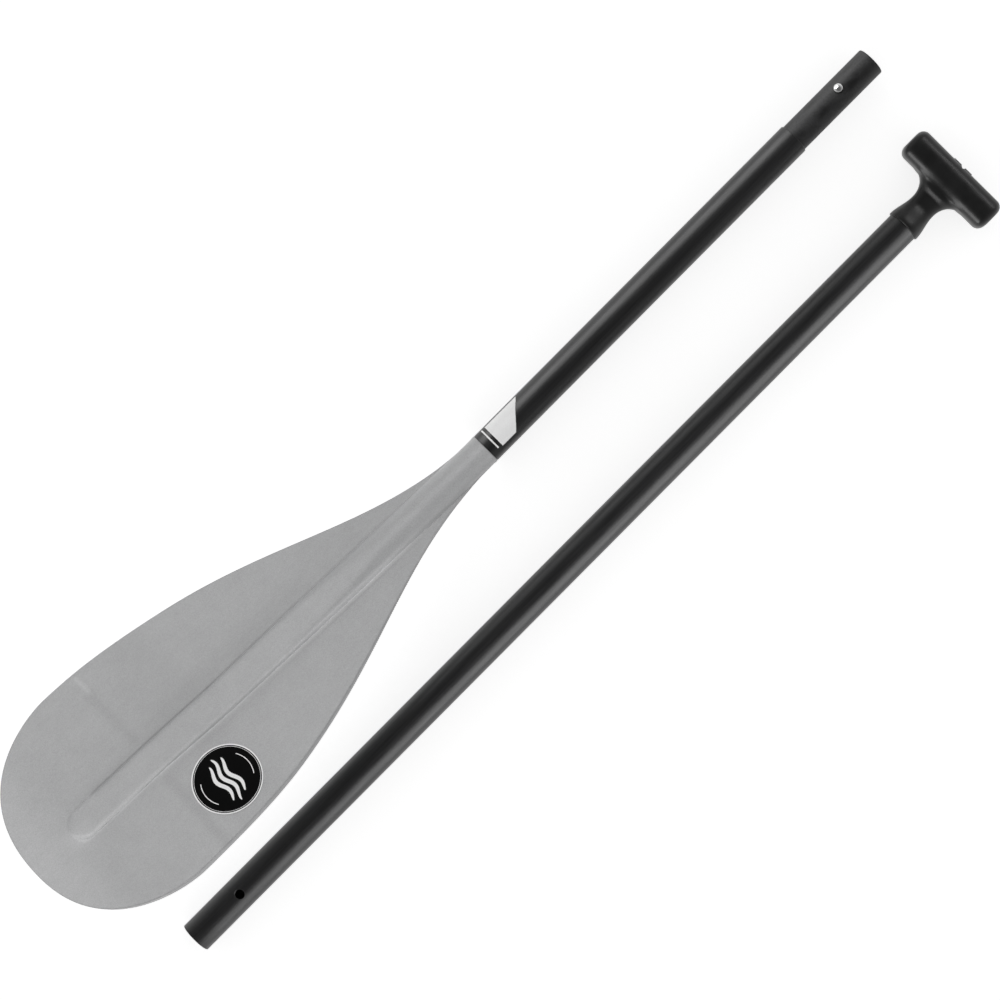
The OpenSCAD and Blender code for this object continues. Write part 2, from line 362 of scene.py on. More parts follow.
def tube_profile(x0, x1, outer, inner, bevel, block, steps):
    """A tube's closed profile of (x, r) points, with rounded rims: outside, then back in the bore."""
    outside = arc_profile((x0 + bevel, outer - bevel), bevel, 180, 90)[:-1]
    outside += [(x, outer) for x in stations(x0 + bevel, x1 - bevel, *block)]
    outside += arc_profile((x1 - bevel, outer - bevel), bevel, 90, 0)[1:]
    small = bevel * 0.6
    bore = [(x, inner) for x in reversed(stations(x0 + small, x1 - small, *block))]
    run = 0.2                           # half the length of a step, which is a short cone
    for place, radius in steps:
        bore = ([(x, radius) for x, r in bore if x > place + 2 * run]
                + [(place + run, radius), (place - run, inner)]
                + [(x, inner) for x, r in bore if x < place - 2 * run])
    end_r = steps[-1][1] if steps else inner
    return (outside + arc_profile((x1 - small, end_r + small), small, 0, -90)[:-1]
            + bore + arc_profile((x0 + small, inner + small), small, -90, -180)[1:])


def tube(x0, x1, outer, inner, bevel, hole=None, steps=(), count=96):
    """A tube along +X with rounded rims. hole = (place, radius) cuts one through the wall at +Z.
    steps are (place, radius) pairs where the bore changes from inner to the given radius."""
    half = HOLE_CELLS * math.pi * outer / count
    rows = tube_profile(x0, x1, outer, inner, bevel, (hole[0], half) if hole else (None,), steps)
    verts, quads = ring_mesh(rows, count)
    if hole:
        cut_hole(verts, quads, rows, hole, half, outer, inner, count)
    return verts, list(quads.values())


def cut_hole(verts, quads, rows, hole, half, outer, inner, count):
    """Puts rings of quads round a hole in place of a tube's block of cells, outside and in the
    bore, and the hole's wall between them."""
    place, radius = hole
    first_row = {"out" if r == outer else "in": i for i, (x, r) in enumerate(rows)
                 if abs(x - (place - half)) < 1e-6}
    span = HOLE_CELLS // 2
    # the block's rim, anticlockwise seen from outside, as (offset along, offset round)
    rim = ([(a, -span) for a in range(-span, span)] + [(span, b) for b in range(-span, span)]
           + [(a, span) for a in range(span, -span, -1)]
           + [(-span, b) for b in range(span, -span, -1)])
    rims = []
    bevel, bevel_deep = 0.35, 0.3
    for side, r, grow in (("out", outer, bevel), ("in", inner, 0.0)):
        outside = side == "out"
        row = first_row[side]
        for i in range(HOLE_CELLS):
            for j in range(-span, span):
                del quads[row + i if outside else row - HOLE_CELLS + i, j % count]
        turn = 1 if outside else -1
        loops = [[(row + turn * (a + span)) * count + b % count for a, b in rim]]
        flat = [(a * (2 * half / HOLE_CELLS), b * 2 * math.pi * r / count) for a, b in rim]
        # rings from the block's square rim to the hole's round one
        for share, target in ((0.45, radius + 1.0), (0.85, radius + 0.45), (1.0, radius + grow)):
            loops.append([])
            for fx, fy in flat:
                a = math.atan2(fy, fx)
                cx, cy = target * math.cos(a), target * math.sin(a)
                px, py = fx + (cx - fx) * share, fy + (cy - fy) * share
                loops[-1].append(len(verts))
                verts.append((place + px, r * math.sin(py / r), r * math.cos(py / r)))
        if outside:
            # the hole's edge, a little deeper, so that it is bevelled
            loops.append([])
            for fx, fy in flat:
                a = math.atan2(fy, fx)
                y = radius * math.sin(a)
                loops[-1].append(len(verts))
                verts.append((place + radius * math.cos(a), y, math.sqrt(r * r - y * y) - bevel_deep))
        for near, far in zip(loops, loops[1:]):
            for k in range(len(near)):
                m = (k + 1) % len(near)
                face = (near[k], far[k], far[m], near[m])
                quads[side, near[k], far[k]] = face[::-1] if outside else face
        rims.append(loops[-1])
    out, deep = rims
    for k in range(len(out)):
        m = (k + 1) % len(out)
        quads["wall", k] = (out[k], out[m], deep[m], deep[k])


def closed_lathe(profile, count=96):
    """A solid turned about +X from a profile whose first and last points are on the axis."""
    rows = profile[1:-1]
    verts, quads = ring_mesh(rows, count)
    faces = [q for (i, j), q in quads.items() if i < len(rows) - 1]
    for end, x in ((0, profile[0][0]), (len(rows) - 1, profile[-1][0])):
        tip = len(verts)
        verts.append((x, 0, 0))
        for j in range(count):
            a, b = end * count + j, end * count + (j + 1) % count
            faces.append((tip, a, b) if end == 0 else (tip, b, a))
    return verts, faces


# ---- Blade -----------------------------------------------------------------------------------
# s is the distance from the neck towards the tip, and u the distance across from the middle
NECK_BEND = 60.0                                        # length of the bend next to the neck
TAN_BEND, TAN_DISH = math.tan(math.radians(7.3)), math.tan(math.radians(6.5))
DISH_ROUND = 6.0                                        # rounds the dish along the middle
STEP_H, STEP_S, STEP_LEN = 8.2, 290.0, 95.0             # the rise of the blade's outer part
SPINE_NOSE, NOSE_ROUND, NOSE_FADE = 462.0, 15.0, 34.0   # the spine's end, seen from above and aside
CREASE_S = 372.5
NECK_EDGE_T = 0.4


def middle(s):
    """Height of the blade's middle surface along its centre line."""
    ramp = np.where(s < NECK_BEND, s * s / (2 * NECK_BEND), s - NECK_BEND / 2)
    return TAN_BEND * ramp + STEP_H * smooth((s - STEP_S) / STEP_LEN)


def plate_middle(s, u):
    """Height of the middle surface, with its two sides raised."""
    return middle(s) + TAN_DISH * (np.sqrt(u * u + DISH_ROUND ** 2) - DISH_ROUND) * smooth(s / 260)


def spine_nose(s, length):
    """1 along the spine, falling to 0 as a quarter circle over the last of its length."""
    k = np.clip((s - SPINE_NOSE + length) / length, 0, 1)
    return np.sqrt(1 - k * k)


def spine_r(s):
    """Half the spine's width."""
    return SHAFT_R + smooth(s / 80) - 1.6 * smooth((s - 150) / 250)


def spine_dome(u, width, power):
    """Height across the spine, from 1 in the middle to 0 at its sides."""
    return np.sqrt(np.clip(1 - np.power(np.abs(u) / width, power), 0, 1))


def outline(count_belly, count_tip):
    """Stations from the neck to near the tip: distance s, half width w and the slope of w times w."""
    t = np.concatenate([np.linspace(0, 0.0045, 7)[:-1], np.linspace(0.0045, 1, count_belly)])
    belly = bezier(BELLY_CURVE, t), bezier_slope(BELLY_CURVE, t)
    t = np.linspace(0, 0.993, count_tip)[1:]
    tip = bezier(TIP_CURVE, t), bezier_slope(TIP_CURVE, t)
    points = np.vstack([belly[0], tip[0]])
    slopes = np.vstack([belly[1], tip[1]])
    return points[:, 0], points[:, 1], slopes[:, 1] / np.maximum(slopes[:, 0], 1e-6) * points[:, 1]


def bezier(p, t):
    """Points of the cubic curve with control points p."""
    p, t = np.array(p, float), t[:, None]
    return (1 - t) ** 3 * p[0] + 3 * (1 - t) ** 2 * t * p[1] + 3 * (1 - t) * t * t * p[2] + t ** 3 * p[3]


def bezier_slope(p, t):
    p, t = np.array(p, float), t[:, None]
    return 3 * ((1 - t) ** 2 * (p[1] - p[0]) + 2 * (1 - t) * t * (p[2] - p[1]) + t * t * (p[3] - p[2]))


def soft_max(a, b, k):
    """The larger of a and b, with a fillet of about k where they cross."""
    h = np.clip(0.5 + 0.5 * (a - b) / k, 0, 1)
    return b + (a - b) * h + k * h * (1 - h)


def crease(s, u):
    """The shallow fold across the blade: a soft valley, with a short sharp ridge near one edge."""
    valley = hump(s, CREASE_S + 1, 5) * smooth((np.abs(u) - 15) / 6)
    ridge = hump(s, CREASE_S, 0.9 + 1.6 * smooth((u - 76) / 20))
    return 0.5 * ridge * smooth((u - 68) / 10) * (1 - smooth((u - 88) / 8)) - 0.28 * valley


def plate_half(s, u, w, inside):
    """Half the plate's thickness, w being the outline's half width and inside the distance in
    from it: thicker in the middle, thin at the neck, and rounded at the edge."""
    edge = (NECK_EDGE_T + (EDGE_T - NECK_EDGE_T) * smooth(s / NECK_BEND)) / 2
    tip = smooth((BLADE_LEN - s) / 70)
    half = edge + np.maximum(0, PLATE_T / 2 - edge) * (1 - np.clip(u / w, -1, 1) ** 2) * tip
    k = np.clip(inside / edge, 0, 1)
    return half * np.sqrt(np.clip(1 - (1 - k) ** 2, 0, 1))


def blade_face(s, u, w, inside):
    """Height of the visible face: the plate, the fold across it, and the spine."""
    plate = plate_middle(s, u) + plate_half(s, u, w, inside) + crease(s, u) * smooth(inside / 6)
    width = spine_r(s) * np.maximum(0.1, spine_nose(s, NOSE_ROUND))
    nose = spine_nose(s, NOSE_FADE) ** 1.3
    # away from the neck it gets lower and its sides steeper, with a wide fillet only near the nose
    high = SHAFT_R - 6 * smooth(s / 260) - 3.4 * smooth((s - 290) / 170)
    power = 2 + 10 * smooth((s - 120) / 130)
    spine = middle(s) + high * nose * spine_dome(u, width, power)
    fillet = 0.02 + 0.5 * smooth((s - 20) / 60) + 5.0 * smooth((s - 405) / 45)
    return np.where(inside <= 0, plate_middle(s, u), soft_max(plate, spine, fillet))


def blade_back(s, u, w, inside):
    """Height of the back: the plate, and the round neck that runs out into it."""
    half = plate_half(s, u, w, inside)
    neck = middle(s) - SHAFT_R * (1 - smooth(s / 300)) * spine_dome(u, spine_r(s), 2)
    low = -soft_max(half - plate_middle(s, u), -neck, 0.02 + 1.5 * smooth((s - 20) / 60))
    return np.where(inside <= 0, plate_middle(s, u), low)


def lip(s):
    """How far the blade's open end stands proud of the shaft, with its rim rounded."""
    round_off = 0.6 * (1 - math.sqrt(max(0.0, 1 - max(0.0, 1 - s / 1.2) ** 2)))
    return 0.32 * (1 - float(smooth((s - 1.6) / 2.6))) - round_off


def half_width_at(s):
    """The outline's half width between the neck and the belly."""
    t = np.linspace(0, 1, 2001)
    curve = bezier(BELLY_CURVE, t)
    return np.interp(s, curve[:, 0], curve[:, 1])


def make_blade():
    s_at, w_at, ww = outline(190, 80)
    # places across: shares of the spine and of the plate, and distances in from the rounded edge
    spine = np.concatenate([np.linspace(0, 0.8, 9)[:-1], np.linspace(0.8, 1.16, 19)])
    plate = np.linspace(0, 1, 30)[1:]
    rim = np.array([2.4, 1.6, 1.1, 0.75, 0.45, 0.22, 0.07, 0.0])
    verts, rows, on_top = [], [], []
    for s, w, slope in zip(s_at, w_at, ww):
        r = float(spine_r(s))
        k = min(1.0, 0.8 * w / (1.16 * r))
        base = spine * r * k
        room = w - base[-1]
        edges = w - np.minimum(rim, room * 0.45 * rim / rim[0])
        mids = base[-1] + (edges[0] - base[-1]) * plate[:-1]
        half = np.concatenate([base, mids, edges])
        u = np.concatenate([-half[:0:-1], half])
        inside = (w * w - u * u) / (2 * np.sqrt(slope * slope + u * u) + 1e-9)
        inside[0] = inside[-1] = 0
        top = blade_face(s, u, w, inside)
        low = blade_back(s, u, w, inside)
        rows.append((len(verts), len(u)))
        grow = 1 + lip(s) / SHAFT_R
        verts += [(-s, a * grow, b * grow) for a, b in zip(u, top)]
        verts += [(-s, a * grow, b * grow) for a, b in zip(u[1:-1], low[1:-1])]
        on_top += [1] * len(u) + [0] * (len(u) - 2)
    n = rows[0][1]
    faces = []
    ring = list(range(n)) + [n + j for j in range(n - 3, -1, -1)]
    for (a, _), (b, _) in zip(rows, rows[1:]):
        for j in range(len(ring)):
            m = (j + 1) % len(ring)
            faces.append((a + ring[j], a + ring[m], b + ring[m], b + ring[j]))
    faces.append([rows[0][0] + j for j in reversed(ring)])
    last = rows[-1][0]
    for j in range(n - 1):
        top_a, top_b = last + j, last + j + 1
        low_a = last if j == 0 else last + n + j - 1
        low_b = last + n - 1 if j == n - 2 else last + n + j
        quad = [top_a, top_b, low_b, low_a]
        faces.append([v for i, v in enumerate(quad) if v not in quad[:i]])
    tang, tang_faces = closed_lathe([(-2, 0), (-2, TANG_R), (TANG_LEN - 1, TANG_R),
                                     (TANG_LEN, TANG_R - 1), (TANG_LEN, 0)], 64)
    faces += [[len(verts) + i for i in f] for f in tang_faces]
    verts += tang
    on_top += [0] * len(tang)
    obj = piece("blade_moulding", verts, faces, BLADE_FRAME, "blade_half", BLADE,
                ["blade"], sharp=50)
    # the attribute that carries the painted highlights and painted shade of the moulding
    layer = obj.data.attributes.new("painted_shading", "FLOAT", "POINT")
    layer.data.foreach_set("value", blade_painted_shading(np.array(verts, float), np.array(on_top), s_at, w_at))
    return obj


def blade_painted_shading(co, on_top, s_at, w_at):
    """How light the moulding is, 0.5 being its own grey and each 0.1 a tenth of it, all painted light and
    shade: painted highlights round the tip, on the spine's lower side and nose and on the fold's ridge, and
    painted shade in the corner by the spine, along the lower edge, on the plate and in the fold."""
    s, u = -co[:, 0], co[:, 1]
    inside = np.clip(np.interp(s, s_at, w_at) - np.abs(u), 0, None)
    r = spine_r(s)
    along, to_nose = smooth((s - 60) / 90), smooth((432 - s) / 10)
    # painted highlight round the tip, and painted shade along the lower edge
    painted_shading = 0.19 * smooth((s - 445) / 55)
    painted_shading -= 0.22 * along * (u < 0) * (1 - smooth(inside / 1.4))
    # painted shade in the corner between the spine's upper side and the plate
    corner = 0.12 + 0.20 * smooth((s - 180) / 160)
    painted_shading -= along * to_nose * (corner * hump(u, r + 0.5, 1.1) + 0.05 * hump(u, r - 2.5, 3.0))
    # the spine's lower side, painted highlights: one broad pale line near the nose, running round it ...
    near_neck = smooth((395 - s) / 40)
    side = r * spine_nose(s, NOSE_ROUND)
    bend = smooth((s - SPINE_NOSE + NOSE_ROUND) / NOSE_ROUND)
    one_line = (0.12 * hump(u, 2.6 - side, 2.4) + 0.46 * hump(u, 1.3 - side, 1.5 + 2.2 * bend)
                + 0.10 * hump(u, -side - 0.6, 0.9))
    painted_shading += along * (1 - near_neck) * smooth((SPINE_NOSE + 1 - s) / 3) * one_line
    # ... and further along two pale painted highlight lines, with painted shade beside them on the plate
    two_lines = (0.34 * hump(u, 1.9 - r, 1.3) + 0.50 * hump(u, 0.1 - r, 1.0) + 0.12 * hump(u, -r - 1.7, 0.7)
                 - 0.13 * hump(u, -r - 3.3, 1.0) - 0.03 * hump(u, -r - 7.0, 5.0))
    painted_shading += along * near_neck * to_nose * two_lines
    # painted highlight on the spine's nose
    painted_shading += 0.22 * hump(s, 457, 13) * hump(u, -4.5, 10.5)
    # painted shade in the fold across, and a painted highlight on its ridge
    aside = smooth((np.abs(u) - 15) / 5)
    painted_shading -= 0.10 * aside * hump(s, CREASE_S + 1, 5) * (1 - smooth((u - 72) / 8))
    ridge = hump(s, CREASE_S, 0.7 + 1.6 * smooth((u - 76) / 20))
    painted_shading += 0.20 * ridge * smooth((u - 72) / 6) * (1 - smooth((u - 91) / 6))
    return (0.5 + painted_shading * on_top).astype(np.float32)


# ---- Badge: a plain disc with a white rim, a thin ring, two arcs and three water-wave strokes --
def on_face(x, y, lift):
    """A point of the badge's plane, in millimetres from its centre, laid on the blade's face."""
    s, u = BADGE_S + x, BADGE_U + y
    w = half_width_at(s)
    return np.stack([-s, u, blade_face(s, u, w, np.full_like(s, 20.0)) + lift], -1)


def make_badge():
    """The disc, laid on the blade's face, with a rounded edge."""
    count = 144
    flat = np.linspace(0, BADGE_R - 0.5, 30)[1:]
    radii = [*flat, BADGE_R - 0.2, BADGE_R - 0.04, BADGE_R]
    lifts = [BADGE_T] * len(flat) + [BADGE_T - 0.02, BADGE_T - 0.14, BADGE_T - 0.3]
    a = np.linspace(0, 2 * math.pi, count, endpoint=False)
    verts = [on_face(np.array([0.0]), np.array([0.0]), BADGE_T)[0]]
    for r, lift in zip(radii, lifts):
        verts += list(on_face(r * np.cos(a), r * np.sin(a), lift))
    verts += list(on_face(BADGE_R * np.cos(a), BADGE_R * np.sin(a), -0.05))
    rings = len(radii) + 1
    faces = [(0, 1 + (j + 1) % count, 1 + j) for j in range(count)]
    for i in range(rings - 1):
        for j in range(count):
            m = (j + 1) % count
            faces.append((1 + i * count + j, 1 + i * count + m, 1 + (i + 1) * count + m,
                          1 + (i + 1) * count + j))
    faces.append([1 + (rings - 1) * count + j for j in reversed(range(count))])
    return piece("badge_disc", verts, faces, BLADE_FRAME, "blade_half", BADGE,
                 ["blade_badge"])


def ribbon(points, widths, closed=False, lift=0.03, thick=0.05):
    """A flat printed stroke on the badge along points, as a thin closed strip."""
    points = np.array(points, float)
    along = np.roll(points, -1, 0) - np.roll(points, 1, 0) if closed else np.gradient(points, axis=0)
    normal = np.stack([-along[:, 1], along[:, 0]], -1)
    normal /= np.linalg.norm(normal, axis=1)[:, None]
    half = np.array(widths, float)[:, None] / 2
    left, right = points + normal * half, points - normal * half
    verts, n = [], len(points)
    for side, z in ((left, lift + thick), (right, lift + thick), (right, lift), (left, lift)):
        verts += list(on_face(side[:, 0], side[:, 1], BADGE_T + z))
    faces = []
    for i in range(n if closed else n - 1):
        m = (i + 1) % n
        for k in range(4):
            k2 = (k + 1) % 4
            faces.append((k * n + i, k * n + m, k2 * n + m, k2 * n + i))
    if not closed:
        faces += [(0, n, 2 * n, 3 * n), (4 * n - 1, 3 * n - 1, 2 * n - 1, n - 1)]
    return verts, faces


def make_badge_print():
    """The disc's print: a rim, a thin ring, two arcs and three wave strokes."""
    verts, faces = [], []

    def add(part):
        faces.extend([[len(verts) + i for i in f] for f in part[1]])
        verts.extend(part[0])

    rim_width, ring_width, arc_r, arc_width = 1.15, 0.32, 21.8, 0.7
    wave_height, wave_thin, wave_swell, longest = 1.9, 0.4, 2.9, 21.5
    turn = np.linspace(0, 2 * math.pi, 160, endpoint=False)
    for radius, width in ((BADGE_R - 0.6, rim_width), (BADGE_R * 0.925, ring_width)):
        add(ribbon([(radius * math.cos(a), radius * math.sin(a)) for a in turn],
                   [width] * len(turn), closed=True))
    for start in (-32, 148):
        arc = np.radians(np.linspace(start, start + 64, 40))
        add(ribbon([(arc_r * math.cos(a), arc_r * math.sin(a)) for a in arc], [arc_width] * len(arc)))
    for shift, reach in ((-5.6, 17.5), (0.4, longest), (6.4, 17.5)):
        y = np.linspace(-reach, reach, 110)
        x = shift + wave_height * np.sin(y / longest * math.pi * 1.7 + 0.6)
        width = wave_thin + wave_swell * np.sqrt(np.clip(1 - (y / reach) ** 2, 0, 1))
        add(ribbon(np.stack([x, y], -1), width))
    return piece("badge_print", verts, faces, BLADE_FRAME, "blade_half", PRINT)


# ---- Printed films on the shaft's neck -------------------------------------------------------
def make_film(name, points, node):
    """A film whose outline is given as (x, y) points seen from above, wrapped on the shaft."""
    points = np.array(points, float)
    angles = np.arcsin(points[:, 1] / SHAFT_R)
    levels = np.unique(np.concatenate([angles, np.linspace(angles.min(), angles.max(), 60)]))
    rows = []
    for level in levels:
        level = np.clip(level, angles.min() + 1e-6, angles.max() - 1e-6)
        xs = []
        for i in range(len(points)):
            m = (i + 1) % len(points)
            a, b = angles[i], angles[m]
            if (a - level) * (b - level) <= 0 and abs(a - b) > 1e-9:
                xs.append(points[i, 0] + (points[m, 0] - points[i, 0]) * (level - a) / (b - a))
        rows.append((level, min(xs), max(xs)))
    verts, n, across = [], len(rows), 8
    for r in (SHAFT_R + FILM_T, SHAFT_R + FILM_GAP):
        for level, low, high in rows:
            for x in np.linspace(low, high, across):
                verts.append((x, r * math.sin(level), r * math.cos(level)))
    faces = []
    base = n * across
    for i in range(n - 1):
        for j in range(across - 1):
            a = i * across + j
            faces.append((a, a + 1, a + across + 1, a + across))
            faces.append((base + a + across, base + a + across + 1, base + a + 1, base + a))
        for j in (0, across - 1):
            a, b = i * across + j, (i + 1) * across + j
            faces.append((a, b, base + b, base + a) if j == 0 else (b, a, base + a, base + b))
    for i in (0, n - 1):
        for j in range(across - 1):
            a, b = i * across + j, i * across + j + 1
            faces.append((b, a, base + a, base + b) if i == 0 else (a, b, base + b, base + a))
    return piece(name, verts, faces, BLADE_FRAME, "blade_half", PRINT, [node], sharp=60)


# ---- T grip: a smooth level surface of rounded shapes ----------------------------------------
def rounded_box(p, centre, half, radius):
    """Distance from a box with rounded edges, half being half its size."""
    q = np.abs(p - np.array(centre)) - (np.array(half) - radius)
    return np.linalg.norm(np.maximum(q, 0), axis=1) + np.minimum(q.max(axis=1), 0) - radius


def soft_min(a, b, k):
    return -soft_max(-a, -b, k)


def grip_field(p):
    """About the distance in millimetres from the grip's surface, negative inside."""
    x, y, z = p[:, 0], p[:, 1], p[:, 2]
    far = BAR_NEAR + GRIP_D
    # the bar: an oval section run along Y, with rounded ends
    a, b, round_end = GRIP_D / 2, GRIP_T / 2, 7.0
    power = np.where(x < far - a, 3.1, 2.6)      # squarer towards the shaft than at the palm
    size = (np.abs(x - far + a) / a) ** power + (np.abs(z) / b) ** power
    section = (np.maximum(size, 1e-9) ** (1 / power) - 1) * b
    qx, qy = section + round_end, np.abs(y - BAR_Y) - (GRIP_W / 2 - round_end)
    bar = np.hypot(np.maximum(qx, 0), np.maximum(qy, 0)) + np.minimum(np.maximum(qx, qy), 0) - round_end
    # less a V notch, whose slope makes the distance from its sides 0.62 of the one along X
    notch_deep, notch_slope = 2.6, 1.25
    notch = (far - notch_deep + np.abs(y - NOTCH_Y) * notch_slope - x) * 0.62
    bar = soft_max(bar, -notch, 0.3)
    # the neck: from the collar to the waist, then flaring out into the bar
    taper = smooth((x - COLLAR_X - 1) / (WAIST_X - COLLAR_X - 1))
    radius = COLLAR_R + (WAIST_R - COLLAR_R) * taper
    k = np.clip((x - BAR_NEAR + FLARE_LEN) / FLARE_LEN, 0, 1)
    wide = radius + FLARE_R * (1 - np.sqrt(np.clip(1 - k * k, 0, 1)))
    thick = COLLAR_R + (STEM_THICK - COLLAR_R) * smooth((x - COLLAR_X - 1) / 22)
    thick += 2.5 * smooth((x - BAR_NEAR + 9.9) / 6.4)
    power = 2 + 0.5 * k
    size = (np.abs(y) / wide) ** power + (np.abs(z) / thick) ** power
    neck = (np.maximum(size, 1e-9) ** (1 / power) - 1) * np.minimum(wide, thick)
    neck = np.maximum(neck, x - BAR_NEAR - 6)
    body = soft_min(bar, neck, 0.9 + 2.1 * smooth((np.abs(z) - 3) / 6))
    return soft_max(body, COLLAR_X - x, 0.5)


def level_surface(field, low, high, cell):
    """Quads over the level surface field = 0 in a box of cells, with each corner moved onto it."""
    low, high = np.array(low, float), np.array(high, float)
    n = np.ceil((high - low) / cell).astype(int) + 1
    axes = [low[k] + cell * np.arange(n[k]) for k in range(3)]
    grid = np.stack(np.meshgrid(*axes, indexing="ij"), -1)
    value = field(grid.reshape(-1, 3)).reshape(n)
    total, count, edges = np.zeros((*(n - 1), 3)), np.zeros(n - 1), []
    for axis in range(3):
        a = np.take(value, range(n[axis] - 1), axis)
        b = np.take(value, range(1, n[axis]), axis)
        cut = np.argwhere((a < 0) != (b < 0))
        share = a[tuple(cut.T)] / (a[tuple(cut.T)] - b[tuple(cut.T)])
        point = low + cell * cut
        point[:, axis] += cell * share
        first, second = [k for k in range(3) if k != axis]
        inner = np.all((cut[:, [first, second]] > 0)
                       & (cut[:, [first, second]] < n[[first, second]] - 1), axis=1)
        cut, point, sign = cut[inner], point[inner], (a[tuple(cut.T)] < 0)[inner]
        corners = []
        for da, db in ((-1, -1), (0, -1), (0, 0), (-1, 0)):
            cells = cut.copy()
            cells[:, first] += da
            cells[:, second] += db
            np.add.at(total, tuple(cells.T), point)
            np.add.at(count, tuple(cells.T), 1)
            corners.append(np.ravel_multi_index(tuple(cells.T), tuple(n - 1)))
        quad = np.stack(corners, -1)
        flip = sign if axis != 1 else ~sign
        quad[~flip] = quad[~flip][:, ::-1]
        edges.append(quad)
    quads = np.vstack(edges)
    used, index = np.unique(quads, return_inverse=True)
    points = total.reshape(-1, 3)[used] / count.reshape(-1)[used][:, None]
    for _ in range(4):
        here = field(points)
        slope = np.stack([(field(points + step) - field(points - step)) / 0.1
                          for step in np.eye(3) * 0.05], -1)
        points -= np.clip(here / np.maximum((slope ** 2).sum(1), 0.05), -0.4, 0.4)[:, None] * slope
    return points, index.reshape(quads.shape)


def make_grip():
    """The collar, neck and bar of the T grip, over-moulded in one."""
    room, high, cell = 1.5, 17.2, 0.8   # round the grip, half the box's height, and a cell's size
    verts, faces = level_surface(grip_field, (COLLAR_X - room, -GRIP_W / 2 - room, -high),
                                 (BAR_NEAR + GRIP_D + room, GRIP_W / 2 + room, high), cell)
    return piece("grip_moulding", verts, faces, HANDLE_FRAME, "handle_half", GRIP,
                 ["grip_skin"], sharp=60)


def make_pads():
    """Two low raised pads on the bar's end face, with the notch between them."""
    verts, faces = [], []
    face_x = BAR_NEAR + GRIP_D
    for y, half in ((-6.55, 3.95), (5.35, 4.15)):
        def field(p, y=y, half=half):
            return rounded_box(p, (face_x - 0.6, y, 0), (1.05, half, 4.5), 0.5)
        v, f = level_surface(field, (face_x - 1.6, y - 5, -5.2), (face_x + 1.4, y + 5, 5.2), 0.35)
        faces += [[len(verts) + i for i in q] for q in f]
        verts += list(v)
    return piece("grip_relief", verts, faces, HANDLE_FRAME, "handle_half", CORE,
                 ["grip_pads"], sharp=60)


# ---- Shafts, ferrule, button, clip and plugs -------------------------------------------------
def upright(verts, at):
    """Turns a lathe along +X into one along +Z, standing at a place on the shaft."""
    return [(at - z, y, x) for x, y, z in verts]


def make_button():
    """A domed pin on a flange that stays inside the ferrule."""
    # heights of the dome's top and the flange's foot, the flange's radius, and the dome's own height
    top, foot, flange, cap = 15.4, 8.9, 4.8, 1.6
    thick, bevel = 0.8, 0.15
    cap_r = (BUTTON_R ** 2 + cap ** 2) / (2 * cap)
    dome = [(math.sqrt(cap_r ** 2 - r ** 2) - cap_r + top, r)
            for r in BUTTON_R * np.cos(np.linspace(0, math.pi / 2, 14)[:-1])]
    profile = ([(foot, 0), (foot, flange - bevel), (foot + bevel, flange),
                (foot + thick - bevel, flange), (foot + thick, flange - bevel),
                (foot + thick, BUTTON_R)] + dome + [(top, 0)])
    verts, faces = closed_lathe(profile, 64)
    return piece("snap_button_dome", upright(verts, BUTTON_AT), faces, BLADE_FRAME, "button", CHROME,
                 ["snap_button"], sharp=30)


def leaf(path, half_width, thick):
    """A strip of spring leaf along a path of (x, z) points, of the given width and thickness."""
    path = np.array(path, float)
    along = np.gradient(path, axis=0)
    normal = np.stack([-along[:, 1], along[:, 0]], -1)
    normal /= np.linalg.norm(normal, axis=1)[:, None]
    edge = 0.12
    section = [(-half_width + edge, thick / 2), (half_width - edge, thick / 2),
               (half_width, thick / 2 - edge), (half_width, -thick / 2 + edge),
               (half_width - edge, -thick / 2), (-half_width + edge, -thick / 2),
               (-half_width, -thick / 2 + edge), (-half_width, thick / 2 - edge)]
    verts = [(p[0] + q[0] * n, y, p[1] + q[1] * n) for p, q in zip(path, normal) for y, n in section]
    k = len(section)
    faces = [(i * k + j, i * k + (j + 1) % k, (i + 1) * k + (j + 1) % k, (i + 1) * k + j)
             for i in range(len(path) - 1) for j in range(k)]
    faces += [list(range(k))[::-1], [(len(path) - 1) * k + j for j in range(k)]]
    return verts, faces


def make_clip():
    """The bent leaf: its lower leg and bend stay with the ferrule, its upper leg follows the button."""
    thick, half_width, low, high = 0.6, 4.0, -8.6, 8.55
    bend_x, leg_end = BUTTON_AT - 46, BUTTON_AT + 6
    bend_r, mid = (high - low) / 2, (high + low) / 2
    bend = [(bend_x - bend_r * math.sin(a), mid - bend_r * math.cos(a))
            for a in np.linspace(0, math.pi, 28)]
    lower = [(x, low) for x in np.linspace(leg_end, bend_x + 1, 24)]
    upper = [(x, high) for x in np.linspace(bend_x + 1, leg_end, 40)]
    verts, faces = leaf(lower + bend[:22], half_width, thick)
    piece("spring_leaf_fixed", verts, faces, BLADE_FRAME, "blade_half", SPRING,
          ["spring_clip"])
    verts, faces = leaf(bend[21:] + upper, half_width, thick)
    moving = piece("spring_leaf_moving", verts, faces, BLADE_FRAME, None, SPRING)
    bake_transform(moving, "blade_half", "button", start=BLADE_FRAME @ Vector((bend_x - 6, 0, high)),
             end=BLADE_FRAME @ Vector((BUTTON_AT - 4, 0, high)))


def make_plug(name, start, length, where, body, node):
    """A foam plug in a shaft's bore."""
    r, bevel = BORE_R - PLUG_GAP, 1.2
    profile = ([(start, 0), (start, r - bevel)]
               + arc_profile((start + bevel, r - bevel), bevel, 180, 90)[1:]
               + [(x, r) for x in np.linspace(start + bevel, start + length - bevel, 12)[1:-1]]
               + arc_profile((start + length - bevel, r - bevel), bevel, 90, 0)
               + [(start + length, 0)])
    verts, faces = closed_lathe(profile, 64)
    plug = piece(name, verts, faces, where, body, FOAM, [node])


